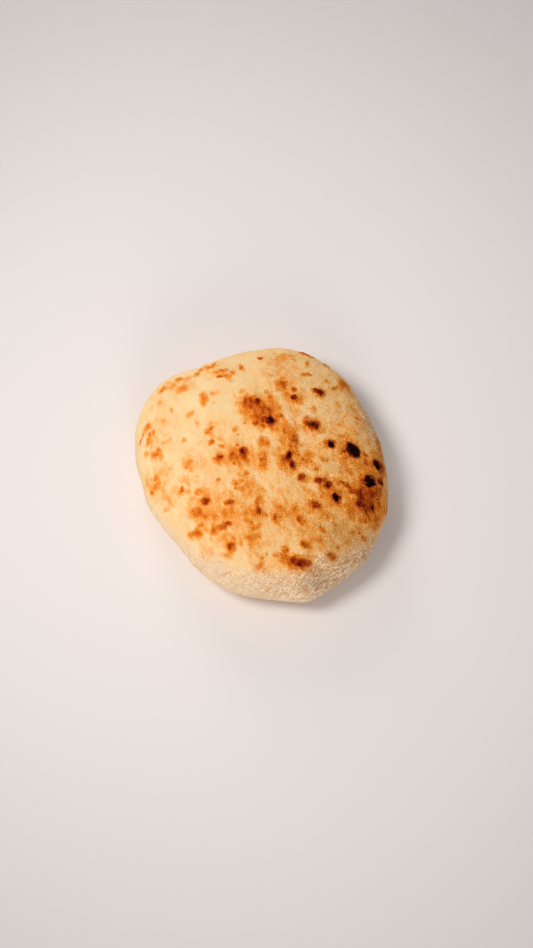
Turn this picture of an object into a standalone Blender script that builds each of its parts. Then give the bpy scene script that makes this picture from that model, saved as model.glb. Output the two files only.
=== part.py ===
"""A mollete: a soft round white bread, baked flat and toasted on top.

Metres, +Z up. The bread lies on its flat base. The origin is on that base, under the middle of the
bread's box. The near side, towards -Y, is the floury one. The loaf is shaped round the middle of
its oval, and centred on its box at the end.
"""
import math

import bmesh
import bpy
from mathutils import Vector, noise

# Driving dimensions of the loaf
LONG_AXIS = 0.1249
SHORT_AXIS = 0.1122
LONG_AXIS_TURN = 115.0  # degrees from +X
OVAL_POWER = 2.1  # 2 is an ellipse, more is squarer
BREAD_HEIGHT = 0.0345
RIM_HEIGHT = 0.0135  # the widest line of the side stands this high

# The rim isn't a true oval: direction and spread in degrees, and how far it is pushed out in metres
RIM_BULGES = (
    (5, 22, -0.0019),
    (30, 9, -0.0005),
    (50, 9, 0.0024),
    (70, 16, 0.0028),
    (112, 12, -0.0027),
    (122, 8, -0.0026),
    (148, 22, 0.0040),
    (188, 8, -0.0015),
    (222, 18, -0.0039),
    (245, 10, -0.0005),
    (287, 6, 0.0019),
    (292, 10, 0.0022),
    (308, 14, 0.0018),
)
BULGE_FADE = 4.0  # higher keeps the bulges nearer to the widest line

# The side's section. A loaf angle of 90 degrees is the middle of the top, and 0 the widest line.
DOME_REACH = 0.62  # lower keeps the top flatter out to the shoulder
UNDERSIDE_REACH = 0.36  # lower keeps the underside flatter
UNDERSIDE_DEPTH = 0.016  # from the widest line down to where the curve would end, below the base
SHOULDER_ANGLE = 37.0  # where the mesh of the top meets the rows of the side

# The mesh: squares along each side of the top, and rows down the side
TOP_SQUARES = 52
SIDE_ROWS = 13

# Slow unevenness of hand-shaped dough: height and size in metres
SWELL_HEIGHT = 0.0016
SWELL_SIZE = 0.034
LUMP_HEIGHT = 0.0007
LUMP_SIZE = 0.011
SWELL_SEED = Vector((3.7, 1.2, 8.4))
LUMP_SEED = Vector((11.3, 5.9, 2.6))

# Blisters that toasted: x and y from the middle of the oval, radius and height, in millimetres
BLISTERS = (
    (-5.5, 25.5, 5.0, 0.9),
    (2, 16, 5.0, 0.9),
    (40, 2.5, 4.5, 1.0),
    (48, -11, 4.5, 1.0),
    (51, -1, 3.0, 0.7),
    (21.5, 14.5, 4.5, 0.9),
    (15, -50, 6.0, 1.0),
    (32, -21.5, 4.0, 0.8),
    (43.5, -22.5, 5.0, 0.9),
    (22.5, -25.5, 3.5, 0.7),
    (30, 5, 3.0, 0.6),
    (25, 32.5, 3.5, 0.7),
    (11, -1.5, 3.0, 0.6),
    (13, -6.5, 3.0, 0.6),
    (-9.5, 0, 3.5, 0.7),
    (-20.5, -2.5, 3.5, 0.6),
    (-26.5, -22.5, 3.5, 0.7),
    (-15, -25, 4.0, 0.6),
    (-3, -28.5, 3.0, 0.6),
    (5, -31.5, 3.0, 0.5),
    (-17, -34.5, 3.5, 0.6),
    (-30.5, -36.5, 4.0, 0.6),
    (-15, -44.5, 4.0, 0.7),
    (17, -11.5, 3.0, 0.6),
    (25, -13.5, 3.5, 0.6),
    (29, -16, 3.0, 0.5),
    (18.5, -44, 3.5, 0.6),
    (29, -47.5, 4.0, 0.7),
    (14, 28.5, 3.0, 0.6),
    (9, 36, 4.0, 0.6),
    (-27.5, 28.5, 4.5, 0.5),
    (-38, 37, 5.0, 0.6),
    (-21, 43.5, 4.5, 0.6),
    (-49, 3.5, 4.5, 0.6),
    (-52, 13.5, 4.5, 0.5),
    (-49, -10.5, 5.0, 0.5),
    (-30, -27.5, 5.0, 0.5),
    (-6, -39.5, 5.0, 0.5),
)
BLISTER_STEEPNESS = 2.0

# Shallow creases where the dough folded: start, middle and end, half width and depth, in millimetres
CREASES = (
    ((-9, 6), (-3, -12), (4, -32), 2.6, 0.7),
    ((7, 40), (13, 21), (20, 2), 2.6, 0.6),
    ((24, 36), (33, 33), (42, 34), 2.4, 0.7),
    ((30, -4), (37, -9), (46, -5), 2.4, 0.5),
    ((-40, 20), (-34, 3), (-38, -14), 3.0, 0.5),
    ((-3, -42), (0, -47), (0, -53), 3.2, 0.4),
    ((23, -46), (32, -41), (42, -31), 2.6, 0.5),
)
CREASE_STEPS = 12

# Ripples of loose skin along the shoulder: direction and spread in degrees
RIPPLES = ((167, 13), (118, 12))
RIPPLE_HEIGHT = 0.0004
RIPPLE_SPACING = 0.0046
RIPPLE_MIDDLE = 0.86  # share of the way out from the middle
RIPPLE_REACH = 0.10

RELIEF_STARTS = 0.0015  # relief fades out below this height, so that the base stays flat
RELIEF_FULL = 0.0060
FACES_UP = 0.35  # blisters, creases and ripples are at their full height where the normal's z is over this
ON_END_FACE = 0.999  # the box's top and base are past this share of its half height
MM = 0.001


def smooth_step(low, high, value):
    share = max(0.0, min(1.0, (value - low) / (high - low)))
    return share * share * (3 - 2 * share)


def turn_between(a, b):
    """Degrees from b to a, from -180 to 180."""
    return (a - b + 180) % 360 - 180


def oval_radius(direction):
    """From the middle to the plain oval, for a direction in degrees."""
    turn = math.radians(direction - LONG_AXIS_TURN)
    along = abs(math.cos(turn)) / (LONG_AXIS / 2)
    across = abs(math.sin(turn)) / (SHORT_AXIS / 2)
    return (along**OVAL_POWER + across**OVAL_POWER) ** (-1 / OVAL_POWER)


def bulge(direction):
    """How far the widest line is pushed out from the plain oval."""
    pushed_out = 0.0
    for middle, spread, push in RIM_BULGES:
        pushed_out += push * math.exp(-((turn_between(direction, middle) / spread) ** 2))
    return pushed_out


def section(loaf_angle):
    """How far out, as a share of the rim's radius, and how high the skin is at a loaf angle."""
    rise = math.sin(math.radians(loaf_angle))
    reach = math.cos(math.radians(loaf_angle))
    if rise >= 0:
        return reach**DOME_REACH, RIM_HEIGHT + (BREAD_HEIGHT - RIM_HEIGHT) * rise
    return reach**UNDERSIDE_REACH, RIM_HEIGHT + UNDERSIDE_DEPTH * rise


def dome_height(share_out):
    """Height of the top at a share of the rim's radius, which undoes section()."""
    return section(math.degrees(math.acos(min(1.0, share_out ** (1 / DOME_REACH)))))[1]


def base_angle():
    """The loaf angle, below 0, where the underside meets the flat base."""
    return -math.degrees(math.asin(RIM_HEIGHT / UNDERSIDE_DEPTH))


def square_to_disc(u, v):
    """A point of the square from -1 to 1 moved to the unit disc, with no pole in the middle."""
    return u * math.sqrt(1 - v * v / 2), v * math.sqrt(1 - u * u / 2)


def on_smooth_loaf(u, v, w):
    """Where a point of the subdivided box goes: w is 1 on its top and -1 on its base."""
    x, y = square_to_disc(u, v)
    direction = math.degrees(math.atan2(y, x))
    share = math.hypot(x, y)
    if w > ON_END_FACE:
        share *= section(SHOULDER_ANGLE)[0]
        height = dome_height(share)
    elif w < -ON_END_FACE:
        share *= section(base_angle())[0]
        height = 0.0
    else:
        angle = base_angle() + (SHOULDER_ANGLE - base_angle()) * (w + 1) / 2
        share, height = section(angle)
    radius = share * (oval_radius(direction) + share**BULGE_FADE * bulge(direction))
    turn = math.radians(direction)
    return Vector((radius * math.cos(turn), radius * math.sin(turn), height))


def crease_points(start, middle, end):
    """Points along the curve from start to end that leans towards middle."""
    for step in range(CREASE_STEPS + 1):
        t = step / CREASE_STEPS
        shares = ((1 - t) ** 2, 2 * t * (1 - t), t**2)
        yield MM * sum((share * Vector(point) for share, point in zip(shares, (start, middle, end))), Vector((0, 0)))


CREASE_LINES = [
    (list(crease_points(start, middle, end)), MM * half_width, MM * depth)
    for start, middle, end, half_width, depth in CREASES
]


def blister_relief(plan):
    height = 0.0
    for x, y, radius, rise in BLISTERS:
        apart = (plan - Vector((MM * x, MM * y))).length / (MM * radius)
        height += MM * rise * math.exp(-BLISTER_STEEPNESS * apart**2)
    return height


def crease_relief(plan):
    depth = 0.0
    for line, half_width, deepest in CREASE_LINES:
        apart = min((plan - point).length for point in line) / half_width
        depth += deepest * math.exp(-(apart**2))
    return -depth


def ripple_relief(plan):
    direction = math.degrees(math.atan2(plan.y, plan.x))
    share = plan.length / oval_radius(direction)
    height = 0.0
    for middle, spread in RIPPLES:
        window = math.exp(-((turn_between(direction, middle) / spread) ** 2))
        window *= math.exp(-(((share - RIPPLE_MIDDLE) / RIPPLE_REACH) ** 2))
        height += RIPPLE_HEIGHT * window * math.sin(2 * math.pi * plan.length / RIPPLE_SPACING)
    return height


def relief(point, normal):
    """How far the skin stands out from the smooth loaf, in metres."""
    swell = SWELL_HEIGHT * noise.noise(point / SWELL_SIZE + SWELL_SEED)
    lumps = LUMP_HEIGHT * noise.noise(point / LUMP_SIZE + LUMP_SEED)
    from_above = smooth_step(0.0, FACES_UP, normal.z)
    plan = point.xy
    shaped = blister_relief(plan) + crease_relief(plan) + ripple_relief(plan)
    return (swell + lumps + from_above * shaped) * smooth_step(RELIEF_STARTS, RELIEF_FULL, point.z)


def subdivided_box():
    """A box with a square grid on its top and base, and rows down its sides."""
    box = bmesh.new()
    bmesh.ops.create_cube(box, size=2.0)
    upright = [edge for edge in box.edges if abs(edge.verts[0].co.z - edge.verts[1].co.z) > 1.0]
    bmesh.ops.subdivide_edges(box, edges=upright, cuts=SIDE_ROWS - 1, use_grid_fill=True)
    level = [edge for edge in box.edges if abs(edge.verts[0].co.z - edge.verts[1].co.z) < 1e-6]
    bmesh.ops.subdivide_edges(box, edges=level, cuts=TOP_SQUARES - 1, use_grid_fill=True)
    return box


def make_one_base_face(mesh):
    """The base is flat, so its squares become one face."""
    squares = [face for face in mesh.faces if all(vert.co.z < RELIEF_STARTS / 100 for vert in face.verts)]
    bmesh.ops.dissolve_faces(mesh, faces=squares, use_verts=True)


def centre_on_box(mesh):
    xs = [vert.co.x for vert in mesh.verts]
    ys = [vert.co.y for vert in mesh.verts]
    middle = Vector(((min(xs) + max(xs)) / 2, (min(ys) + max(ys)) / 2, 0))
    bmesh.ops.translate(mesh, verts=mesh.verts, vec=-middle)


def crust_material():
    material = bpy.data.materials.new("toasted_crust")
    material.use_nodes = True
    shader = material.node_tree.nodes["Principled BSDF"]
    shader.inputs["Base Color"].default_value = (0.83, 0.50, 0.19, 1)
    shader.inputs["Roughness"].default_value = 0.65
    shader.inputs["Metallic"].default_value = 0.0
    return material


def make_bread(collection):
    bread = subdivided_box()
    for vert in bread.verts:
        vert.co = on_smooth_loaf(*vert.co)
    bread.normal_update()
    moves = [vert.normal * relief(vert.co, vert.normal) for vert in bread.verts]
    for vert, move in zip(bread.verts, moves):
        vert.co += move
    make_one_base_face(bread)
    centre_on_box(bread)
    mesh = bpy.data.meshes.new("mollete")
    bread.to_mesh(mesh)
    bread.free()
    mesh.shade_smooth()
    mesh.materials.append(crust_material())
    obj = bpy.data.objects.new("mollete", mesh)
    collection.objects.link(obj)
    return obj


def clear_scene():
    for obj in list(bpy.data.objects):
        bpy.data.objects.remove(obj)


def main():
    clear_scene()
    collection = bpy.data.collections.new("mollete")
    bpy.context.scene.collection.children.link(collection)
    make_bread(collection)


main()
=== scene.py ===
import math
import random

import bmesh
import bpy
import numpy as np
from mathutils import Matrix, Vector, noise
from mathutils.bvhtree import BVHTree


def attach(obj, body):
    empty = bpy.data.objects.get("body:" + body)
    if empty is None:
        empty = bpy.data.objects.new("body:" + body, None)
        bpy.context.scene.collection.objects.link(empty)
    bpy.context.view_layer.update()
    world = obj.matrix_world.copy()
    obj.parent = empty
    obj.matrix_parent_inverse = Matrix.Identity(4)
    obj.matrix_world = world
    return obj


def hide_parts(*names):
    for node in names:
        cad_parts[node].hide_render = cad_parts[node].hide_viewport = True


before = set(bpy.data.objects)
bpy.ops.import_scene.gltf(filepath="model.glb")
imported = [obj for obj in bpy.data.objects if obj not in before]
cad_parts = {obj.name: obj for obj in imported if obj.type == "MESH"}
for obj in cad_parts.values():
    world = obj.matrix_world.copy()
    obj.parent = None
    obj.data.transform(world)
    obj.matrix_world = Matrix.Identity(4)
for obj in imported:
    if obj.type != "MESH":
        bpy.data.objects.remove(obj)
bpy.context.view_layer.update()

mm = 0.001
print("frame loaded")


def linearColour(code):
    # sRGB hex to the linear values that sockets take
    parts = [int(code[i:i + 2], 16) / 255 for i in (1, 3, 5)]
    return (*[c / 12.92 if c <= 0.04045 else ((c + 0.055) / 1.055) ** 2.4 for c in parts], 1.0)


def addNode(tree, kind, inputs=None, output=0, **settings):
    # one node with its settings, values and links: gives back the output asked for
    node = tree.nodes.new(kind)
    for name, value in settings.items():
        setattr(node, name, value)
    for key, value in (inputs or {}).items():
        if isinstance(value, bpy.types.NodeSocket):
            tree.links.new(value, node.inputs[key])
        else:
            node.inputs[key].default_value = value
    return node.outputs[output] if node.outputs else node


def addObject(name, data):
    obj = bpy.data.objects.new(name, data)
    bpy.context.scene.collection.objects.link(obj)
    return obj


def smoothStep(low, high, value):
    share = np.clip((value - low) / (high - low), 0.0, 1.0)
    return share * share * (3 - 2 * share)


# the camera looks down on the table
view = {
    "elevation": 65.0,  # degrees above the table
    "distance": 1.09,  # metres to the target
    "lens": 90.0,
    "sensor": 36.0,  # on the picture's long side
    "picture": (533, 948),
    "target": (0.0, 0.0, 0.013),
    "targetPixel": (260.6, 472.7),  # where the target shows
    "readingShift": (0.0, 0.7),  # the marks' places were read this much too high
}

lookUp = math.radians(view["elevation"])
viewBack = np.array((0.0, -math.cos(lookUp), math.sin(lookUp)))
viewUp = np.array((0.0, math.sin(lookUp), math.cos(lookUp)))
viewRight = np.array((1.0, 0.0, 0.0))
pictureMiddle = np.array(view["picture"]) / 2
focalPixels = view["lens"] / view["sensor"] * view["picture"][1]
aimShift = (np.array(view["targetPixel"]) - pictureMiddle) * view["distance"] / focalPixels
cameraPlace = (np.array(view["target"]) + viewBack * view["distance"]
               - viewRight * aimShift[0] + viewUp * aimShift[1])


def makeCamera():
    lens = bpy.data.cameras.new("camera")
    lens.lens = view["lens"]
    lens.sensor_width = view["sensor"]
    camera = addObject("camera", lens)
    camera.location = cameraPlace
    camera.rotation_euler = (math.radians(90 - view["elevation"]), 0, 0)
    bpy.context.scene.camera = camera


def pixelsOf(points):
    # where points of the bread show in the picture
    offset = points - cameraPlace
    depth = -(offset @ viewBack)
    across = pictureMiddle[0] + focalPixels * (offset @ viewRight) / depth
    down = pictureMiddle[1] - focalPixels * (offset @ viewUp) / depth
    return np.stack([across, down], axis=1)


makeCamera()
print("camera placed")


# the crust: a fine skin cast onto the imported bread
crust = {
    "topSquares": 188,
    "rowsAbove": 48,  # rows of the side over its widest line
    "rowsBelow": 20,
    "ringInset": 16 * mm,  # the side's rows fan out from a ring this far inside the rim
    "ringHeight": 13.5 * mm,
    "ringBlend": 6,  # degrees on each side that the ring is averaged over
    "mergeWithin": 0.001 * mm,
    "baseBelow": 0.0001 * mm,  # faces wholly under this are the flat base
    "smoothing": 14,
    "restsBelow": 0.3 * mm,  # what lies lower stays flat
    "castFrom": 100 * mm,
    "baseToast": 0.30,
    "baseFlour": 0.45,
}


def breadSurface(node):
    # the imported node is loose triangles, so a copy is merged first
    copy = bmesh.new()
    copy.from_mesh(node.data)
    bmesh.ops.remove_doubles(copy, verts=copy.verts, dist=crust["mergeWithin"])
    surface = BVHTree.FromBMesh(copy)
    copy.free()
    return surface


def ringRadii(surface):
    # a smooth ring inside the rim: one radius for each degree, and the first again at the end
    centre = Vector((0, 0, crust["ringHeight"]))
    radii = []
    for degree in range(360):
        turn = math.radians(degree)
        hit = surface.ray_cast(centre, Vector((math.cos(turn), math.sin(turn), 0)))[0]
        radii.append((hit - centre).length - crust["ringInset"])
    blend = crust["ringBlend"]
    wide = np.array(radii[-blend:] + radii + radii[:blend + 1])
    return np.convolve(wide, np.ones(2 * blend + 1) / (2 * blend + 1), mode="valid")


def castCrust(surface):
    rows = crust["rowsAbove"] + crust["rowsBelow"]
    lowShare = crust["rowsBelow"] / rows
    ring = ringRadii(surface)
    box = bmesh.new()
    bmesh.ops.create_cube(box, size=2.0)
    for upright, cuts in ((True, rows - 1), (False, crust["topSquares"] - 1)):
        edges = [edge for edge in box.edges
                 if (abs(edge.verts[0].co.z - edge.verts[1].co.z) > 0.001) == upright]
        bmesh.ops.subdivide_edges(box, edges=edges, cuts=cuts, use_grid_fill=True)
    for vert in box.verts:
        u, v, w = vert.co
        x, y = u * math.sqrt(1 - v * v / 2), v * math.sqrt(1 - u * u / 2)
        turn = math.atan2(y, x)
        around = Vector((math.cos(turn), math.sin(turn), 0))
        reach = math.hypot(x, y) * np.interp(math.degrees(turn) % 360, np.arange(361), ring)
        inner = around * float(reach)
        if w < -0.999:  # the box's floor
            vert.co = inner
            continue
        if w > 0.999:  # its lid
            start = inner + Vector((0, 0, crust["castFrom"]))
            direction = Vector((0, 0, -1))
        else:
            share = (w + 1) / 2
            rise = (share - lowShare) / (1 - lowShare) if share > lowShare else share / lowShare - 1
            rise *= math.pi / 2
            start = inner + Vector((0, 0, crust["ringHeight"]))
            direction = around * math.cos(rise) + Vector((0, 0, math.sin(rise)))
        vert.co = surface.ray_cast(start, direction)[0]
    base = [face for face in box.faces if all(vert.co.z < crust["baseBelow"] for vert in face.verts)]
    bmesh.ops.dissolve_faces(box, faces=base, use_verts=True)
    mesh = bpy.data.meshes.new("mollete_crust")
    box.to_mesh(mesh)
    box.free()
    return mesh


def vectorArray(items, key):
    values = np.empty(len(items) * 3)
    items.foreach_get(key, values)
    return values.reshape(-1, 3)


def noiseArray(points, size, seed):
    # smooth noise from about -1 to 1, with features of that size
    shift = Vector((seed * 17.3, seed * 5.1, seed * 9.7))
    return np.array([noise.noise(Vector(point) / size + shift) for point in points])


def settle(obj):
    # the evaluated object as a plain mesh, with no modifier left
    graph = bpy.context.evaluated_depsgraph_get()
    mesh = bpy.data.meshes.new_from_object(obj.evaluated_get(graph))
    obj.modifiers.clear()
    old = obj.data
    obj.data = mesh
    bpy.data.meshes.remove(old)


# toast marks as they show in the photograph, from charred to faint
# each: x and y in its pixels, long way, short way, and any lean in degrees
toast = {
    "char": {"depth": 1.18, "soft": 0.4, "wander": 0.9, "places": (
        (352.6, 450, 19, 13, -50), (376, 464, 13.5, 5.5, -60), (366.8, 478.3, 7.5, 8),
        (371.3, 482, 10, 7, -60), (368.5, 485, 7, 4, -20), (335.5, 497, 10, 5, -68),
        (330.6, 443.9, 8, 6, -45),
    )},
    "scorch": {"depth": 0.95, "soft": 0.45, "wander": 0.9, "places": (
        (311, 422.3, 13, 8, -32), (310.3, 420, 8, 6, -30), (315.2, 425, 10, 6.5, -32),
        (316.8, 390.5, 12, 5.5, -14), (242.6, 449.8, 8, 5.5, 90), (359.5, 504, 13, 7, -10),
        (371.7, 507.2, 11, 3.5, 90), (300.8, 563, 11, 7, -15), (294, 558.5, 7, 7), (267, 420, 11, 8, -5),
        (292.6, 463.6, 8, 6, -50), (288.8, 454.6, 8, 5, 80), (380, 481.7, 9, 5, -65),
    )},
    "dark": {"depth": 0.80, "soft": 0.5, "wander": 0.9, "places": (
        (312, 423, 16, 9, -32), (257, 401, 9, 7, 20), (257.6, 510.6, 7, 6.5), (290.5, 460.5, 15, 6, -64),
        (294, 396.5, 7.5, 6.5), (320, 393, 6, 5), (204.8, 500.6, 9, 7.5), (302.4, 476, 7, 5.5, -40),
        (321, 479.6, 8, 5, -30), (329, 483.5, 10, 8, 90), (313.8, 504, 12, 7.5, -12),
        (341.5, 481.2, 6, 3.5, -20), (221, 456.2, 4.5, 4.5), (356, 503, 4.5, 4), (273.6, 420.4, 7, 6),
        (261.6, 458.4, 5.5, 5, 90),
    )},
    "burnt": {"depth": 0.80, "soft": 0.45, "wander": 1.3, "places": (
        (312, 423.2, 21, 12, -32), (330.5, 443.5, 12, 10, -45), (352.2, 449.8, 18, 15, -50),
        (376.5, 464, 16, 9, -60), (369.5, 480.8, 17, 14, -50), (380, 481, 10, 7, -70),
        (336.5, 498, 12, 9, -70), (317, 391, 14, 7, -10), (362, 501, 16, 10, -20), (371, 505, 14, 8, 80),
        (362.5, 493, 12, 17), (298.5, 561.5, 21, 10, -16), (257, 401, 11, 9, 30),
        (268.5, 420.5, 15, 10, -10), (242.5, 451, 12, 8.5, 90), (288.5, 455, 12, 8, 80),
        (293, 464, 12, 8, -60), (314.5, 503.8, 14, 9, -15), (318.5, 480, 9, 7, -30), (327.5, 484, 9, 8),
        (302, 476, 8, 7, -30), (294, 396.6, 8, 7),
    )},
    "brown": {"depth": 0.68, "soft": 0.55, "wander": 1.2, "places": (
        (252.5, 402.5, 15, 12), (230, 544.5, 7, 6), (343.5, 483, 17, 3.8, -28), (353, 490.5, 9, 6, -20),
        (219.2, 458, 8.5, 8.5), (243.5, 455, 9, 8, 90), (211.2, 441.2, 7, 7), (286.1, 382.2, 5.5, 3.5),
        (293.9, 389.2, 6, 5.5), (307.8, 373.9, 6.5, 4.5, -15), (280, 415.5, 8, 6), (253, 396.5, 7, 5),
        (360, 494, 12, 8, -30), (371, 493, 14, 11), (309.4, 500, 4, 3), (275.6, 516.8, 8, 4.5, 90),
        (305, 544.5, 11, 6.5, -35), (286.1, 550.6, 5.5, 5), (266, 424.5, 9, 6, -10),
        (346.7, 470.3, 4.5, 2.5), (356.7, 418.3, 7, 3, -28), (219.4, 375.8, 8.5, 3.2, 8),
        (344, 382.5, 12, 2.4, -45), (306.5, 354.5, 15, 2.5, -22), (365, 520.6, 5.5, 5),
        (226.7, 501.8, 7, 6), (232.8, 500.6, 5, 4), (228.3, 522.6, 7, 5, 20), (222.4, 526.4, 9, 5.5, 15),
        (195.5, 532.8, 7, 5, 25), (297, 441.5, 6.5, 5, 90), (260, 357.6, 6, 2.6), (343.9, 451, 5, 4),
        (302.8, 459, 5, 4, -45), (358.9, 532.8, 3.5, 3), (366, 454.5, 6, 4, -20), (308, 562.5, 9, 8),
        (234, 462.5, 5, 5), (332.2, 495.6, 5, 5), (347, 456.5, 6, 5), (353, 499.5, 7, 6),
        (331.5, 555.5, 9, 5, -50), (302.5, 568.5, 6, 3, -20),
    )},
    "blotch": {"depth": 0.62, "soft": 0.4, "wander": 1.6, "places": (
        (252, 403, 22, 13, -8), (264, 414, 24, 18, -40), (270, 419, 20, 13, -20), (295.5, 441, 7, 19, 14),
        (283, 457, 8, 11, 10), (265, 424, 15, 8, -20), (256, 422.5, 8, 6), (301, 520, 14, 7, -55),
        (325.5, 441, 8, 6), (369, 490, 28, 24, -50), (362, 479, 14, 12, -30), (297, 557, 8, 6),
        (371, 500, 32, 20, 75), (359, 504, 22, 14, -20), (367, 462, 12, 8, -40), (326, 483, 22, 10, -28),
        (299, 562, 26, 11, -14), (285, 556, 14, 7, -30), (222, 526, 14, 6, 25), (205, 501, 11, 9),
        (242.5, 452, 13, 12), (233, 456, 12, 10), (197, 511, 12, 10), (228, 501.5, 12, 6),
        (257, 511, 13, 11), (282, 383.5, 12, 6, -12),
    )},
    "halo": {"depth": 0.55, "soft": 0.75, "wander": 2.0, "places": (
        (264, 413, 45, 26, -36), (247, 403.5, 16, 13), (268, 421, 26, 18, -20), (295, 441, 44, 11, -66),
        (300, 428, 20, 10, -40), (287, 461, 26, 17, -60), (313.5, 424.5, 22, 13, -36),
        (329.5, 443.5, 14, 11), (351.5, 450, 26, 20, -50), (367, 494, 44, 38, -60), (375, 512, 34, 18, 75),
        (377, 466, 24, 15, -60), (335, 490, 30, 10, -32), (337, 479, 12, 9), (314, 505, 20, 12, -15),
        (302, 477, 13, 8, -30), (298, 563, 40, 16, -14), (306, 544.5, 14, 9, -30),
        (317.5, 392.5, 15, 10, -10), (295, 398, 17, 13), (281, 385, 19, 13, -10), (238, 454.5, 22, 17, -5),
        (220, 458.5, 12, 11), (263, 459, 11, 26), (204.5, 500, 13, 10), (221, 526, 26, 9, 24),
        (196, 532.5, 15, 8, 24), (230.5, 545, 14, 12), (276, 518, 13, 12), (347, 485, 18, 6, -30),
        (344, 385, 20, 4, -44), (331, 556, 14, 9, -50), (336, 498, 18, 15, -60), (296, 440, 7, 18, 15),
        (341, 483, 10, 7, -25), (301, 568, 13, 6, -20), (362, 519, 12, 9), (370, 468, 14, 12, -50),
    )},
    "orange": {"depth": 0.50, "soft": 0.68, "wander": 1.4, "places": (
        (246, 410, 12, 10), (262, 413, 16, 13, -30), (257, 420.5, 10, 5), (278, 424, 7, 6),
        (335.5, 386.8, 9, 5, 15), (273.5, 402.5, 11, 9), (271, 395.5, 9, 8), (286, 394, 8, 7),
        (280, 407, 8, 7), (268.5, 410.5, 10, 9), (287.2, 430, 12, 12), (295.5, 440, 11, 7, 90),
        (295.6, 448, 10, 5.5, 90), (285, 458, 16, 15), (264, 442, 14, 11, -30), (260.6, 463.5, 13, 6.5, 90),
        (232.8, 455, 9, 8), (237.3, 445, 7, 4.5), (221, 445.6, 7, 4, -20), (211.7, 427.8, 6.5, 4.5, 30),
        (207.2, 431.8, 6, 4.5, 10), (234.4, 428.7, 5.5, 4, -40), (241.7, 367.2, 9, 4.5, -40),
        (241.2, 390.3, 6, 5), (203.5, 398.5, 14, 8.5, 90), (162.2, 388.8, 11, 4.5, 45),
        (178.3, 379.2, 8.5, 4.8, 15), (196.7, 374.4, 8, 4, 18), (201, 369.5, 6, 3, 20),
        (208.9, 367.2, 8, 4, 30), (214, 363.6, 6, 3, 25), (219.5, 370.4, 13, 2.8, 15),
        (231.8, 372.2, 7, 4, -20), (227, 375.5, 9, 4, 5), (146.9, 428.5, 11, 5, 60),
        (151.5, 433.5, 10, 5, 45), (148.3, 441, 11, 4.5, 60), (155.8, 453, 11, 8, 10),
        (157.8, 449, 6, 5, 60), (189.9, 460.2, 6, 5), (187.2, 464.6, 9, 5, 60), (156.3, 478, 8, 6, 90),
        (157, 485.5, 10, 6, 60), (151.8, 492, 6, 5, 40), (181.1, 489.7, 8, 6, 60), (218.3, 479.2, 4.5, 4.5),
        (199, 491, 11, 7, 10), (196.7, 511.5, 14, 12), (203.5, 515.8, 12, 7, -15), (200.6, 524.4, 6, 5),
        (216, 517, 11, 9, 90), (228, 512, 14, 12), (244, 513, 10, 8), (251.2, 521.5, 8, 6),
        (214.4, 530.6, 13, 8, 15), (196.5, 532.8, 13, 7, 25), (231, 545.5, 12, 9), (232.2, 538, 6, 5),
        (253, 536, 15, 10), (234.5, 482.3, 7, 6), (241.2, 481, 7, 6), (245.5, 473, 7, 6, 60),
        (260, 499, 10, 12), (256.5, 504, 10, 8), (263, 514, 9, 7), (279, 508.5, 13, 12),
        (292.6, 511, 11, 9), (285, 514, 12, 9), (301.5, 520.5, 12, 8, -50), (325, 514, 13, 11, -60),
        (333, 503, 10, 9, -60), (343, 505, 10, 8), (324, 495, 10, 8, -20), (322, 528.8, 10, 7, -45),
        (319.3, 538.3, 9, 8, -45), (337.8, 546.7, 6.5, 5, 20), (330.6, 556.1, 11, 6.5, -50),
        (335, 523.4, 8, 3, -35), (364.5, 537.3, 7, 6), (355, 530, 12, 10), (377, 512, 26, 11, 72),
        (375, 526, 9, 8, 60), (367, 509, 12, 9), (281.5, 560, 10, 6, -20), (289, 561, 9, 9),
        (293, 567.5, 9, 5), (276, 555.3, 9, 5, -25), (262.2, 557.3, 5.5, 4.5), (259.2, 565.5, 9, 6, 80),
        (282.2, 384, 13, 8), (282.2, 377.8, 7, 5), (278.3, 383.5, 6, 3.5), (266.5, 391, 6, 4.5),
        (312, 409, 9, 7), (320.5, 431, 6, 4.5, -30), (326, 364, 10, 4, -40), (350, 471, 10, 7, -20),
        (306.7, 364, 8, 4, 90), (309.4, 454.5, 12, 10), (308, 461, 10, 7), (332, 481, 9, 6),
        (311, 537, 10, 9, -40), (309, 509, 10, 9), (285, 548, 9, 7), (304, 374, 7, 5), (252, 507, 9, 9),
        (274, 514, 8, 10), (264, 419.5, 16, 8), (323.9, 459, 11, 6), (340.6, 435.6, 8, 3.5, -20),
        (347.8, 442.6, 7, 5), (377.3, 441, 10, 4.5, -65), (348.3, 486.7, 11, 3, -30),
        (303, 508.3, 6, 5.5, 90), (283.5, 440, 9, 11), (241, 487, 8, 7), (256, 526, 12, 9, 30),
        (301, 463, 8, 6), (246, 519, 8, 7), (142, 438, 12, 2.4, 68), (315.5, 469, 8, 6),
        (341.5, 470, 11, 1.6),
    )},
    "gold": {"depth": 0.27, "soft": 0.7, "wander": 1.5, "places": (
        (159.4, 403.5, 10, 4.5, 75), (171.7, 411, 10, 4.5, 85), (182.4, 388.2, 20, 9, 30),
        (190.6, 413.3, 12, 5.5, 50), (164.2, 419, 5.5, 3.5, 70), (196.7, 421.7, 7, 4.5, -60),
        (213.9, 392.2, 9, 6), (213.9, 401.7, 6, 3.5, 45), (230, 379, 9, 5, -15),
        (166.7, 440.5, 14, 4.5, 30), (165.6, 434, 5, 4), (184.4, 439.4, 6, 5), (214.4, 422.3, 9, 6),
        (218, 438, 14, 3.5, -25), (146.7, 454.3, 8, 4.5, 90), (146, 483.3, 8, 4.5, 90),
        (162.8, 489.5, 11, 4.5, -70), (192.2, 498.3, 7, 6), (190.6, 516.7, 8, 6), (166.7, 508.3, 10, 5, 45),
        (197.8, 476.7, 4, 4), (235, 516, 8, 7), (248.9, 549, 6, 5), (255.6, 553, 9, 7),
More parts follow.
